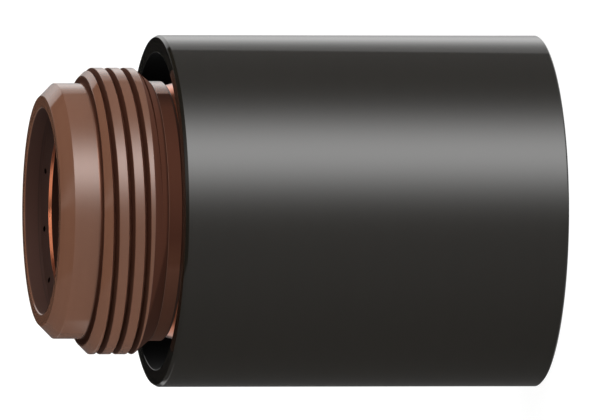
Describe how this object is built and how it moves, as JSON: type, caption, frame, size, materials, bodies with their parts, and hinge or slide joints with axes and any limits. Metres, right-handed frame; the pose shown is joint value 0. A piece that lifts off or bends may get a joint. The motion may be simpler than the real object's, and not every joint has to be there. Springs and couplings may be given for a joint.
{
  "type": "plasma torch retaining cap",
  "caption": "Screw-on cap for a plasma cutting torch: copper body with a nozzle lip, black insulating sleeve, and a brown nose ring with gas holes and a coarse shield thread.",
  "frame": {"origin": "centre of the sleeve's rear face, which the cap stands on", "axes": "+Z along the cap's axis, from the torch side towards the nose"},
  "size_m": [0.035, 0.035, 0.05],
  "materials": {
    "sleeve": "black filled insulating plastic, satin",
    "body": "bright turned copper",
    "ring": "brown high-temperature insulating plastic, turned, satin"
  },
  "bodies": {
    "root": {"outer_sleeve": "sleeve", "cap_body": "body", "nose_ring": "ring"}
  },
  "joints": []
}
